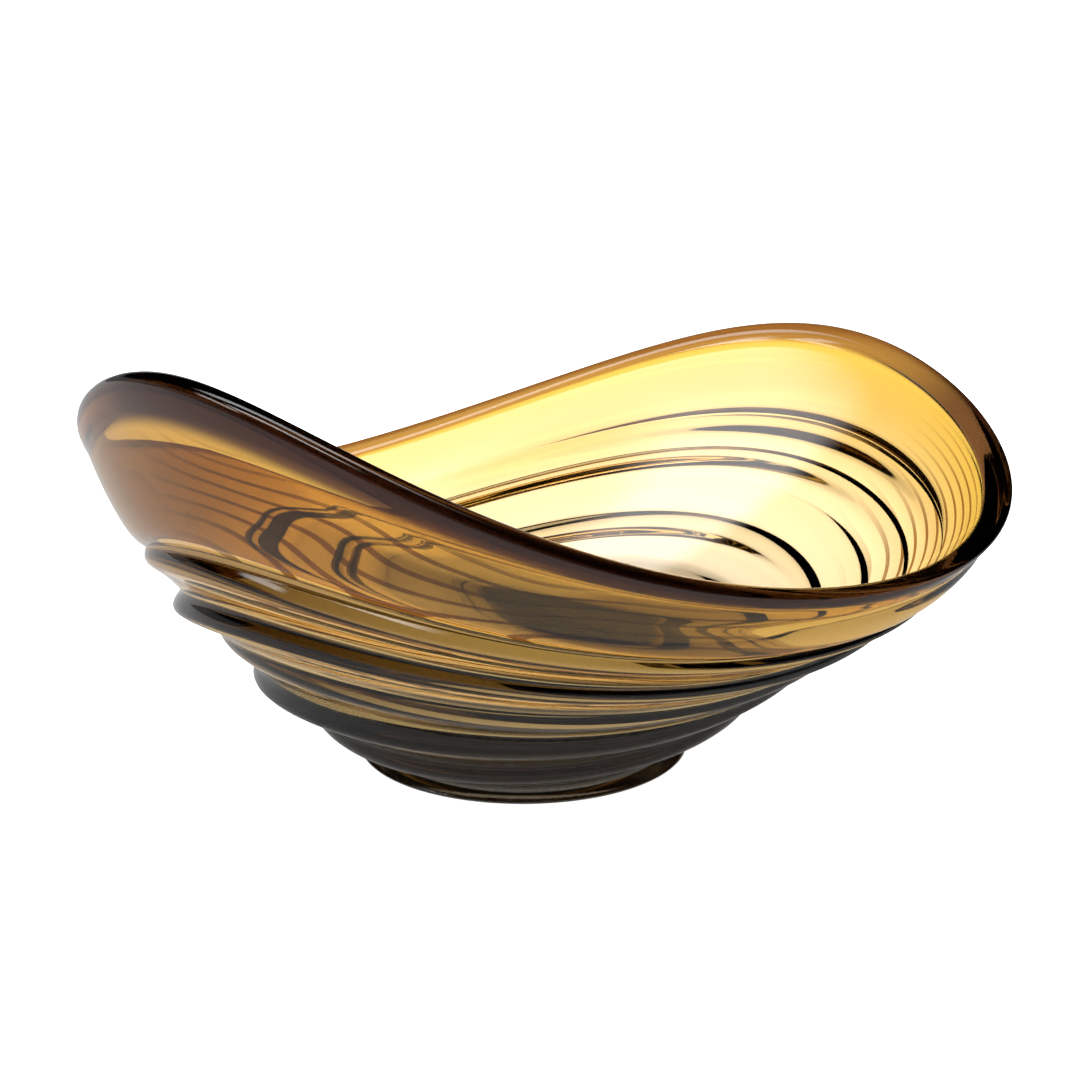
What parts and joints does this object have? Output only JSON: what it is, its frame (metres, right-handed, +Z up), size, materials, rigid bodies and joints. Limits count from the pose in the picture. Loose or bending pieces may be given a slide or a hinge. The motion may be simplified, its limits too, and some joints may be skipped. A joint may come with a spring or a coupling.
{
  "type": "art glass bowl",
  "caption": "Heavy oval glass bowl with a waved rim, stepped ledges round its outside, a smooth inside and a round flat foot.",
  "frame": {"origin": "centre of the foot's flat underside, on the surface that the bowl stands on", "axes": "+Z up, X along the long axis of the rim with the higher end towards -X, +Y towards the side with the lower back edge"},
  "size_m": [0.3847, 0.2897, 0.1954],
  "materials": {
    "smoke_glass": "clear smoke-grey glass, fire-polished",
    "amber_glass": "clear amber glass, fire-polished, paler in thin places",
    "rim_glass": "clear dark amber glass, rounded and fire-polished"
  },
  "bodies": {
    "root": {"foot": "smoke_glass", "bowl_wall": "amber_glass", "rim_roll": "rim_glass"}
  },
  "joints": []
}
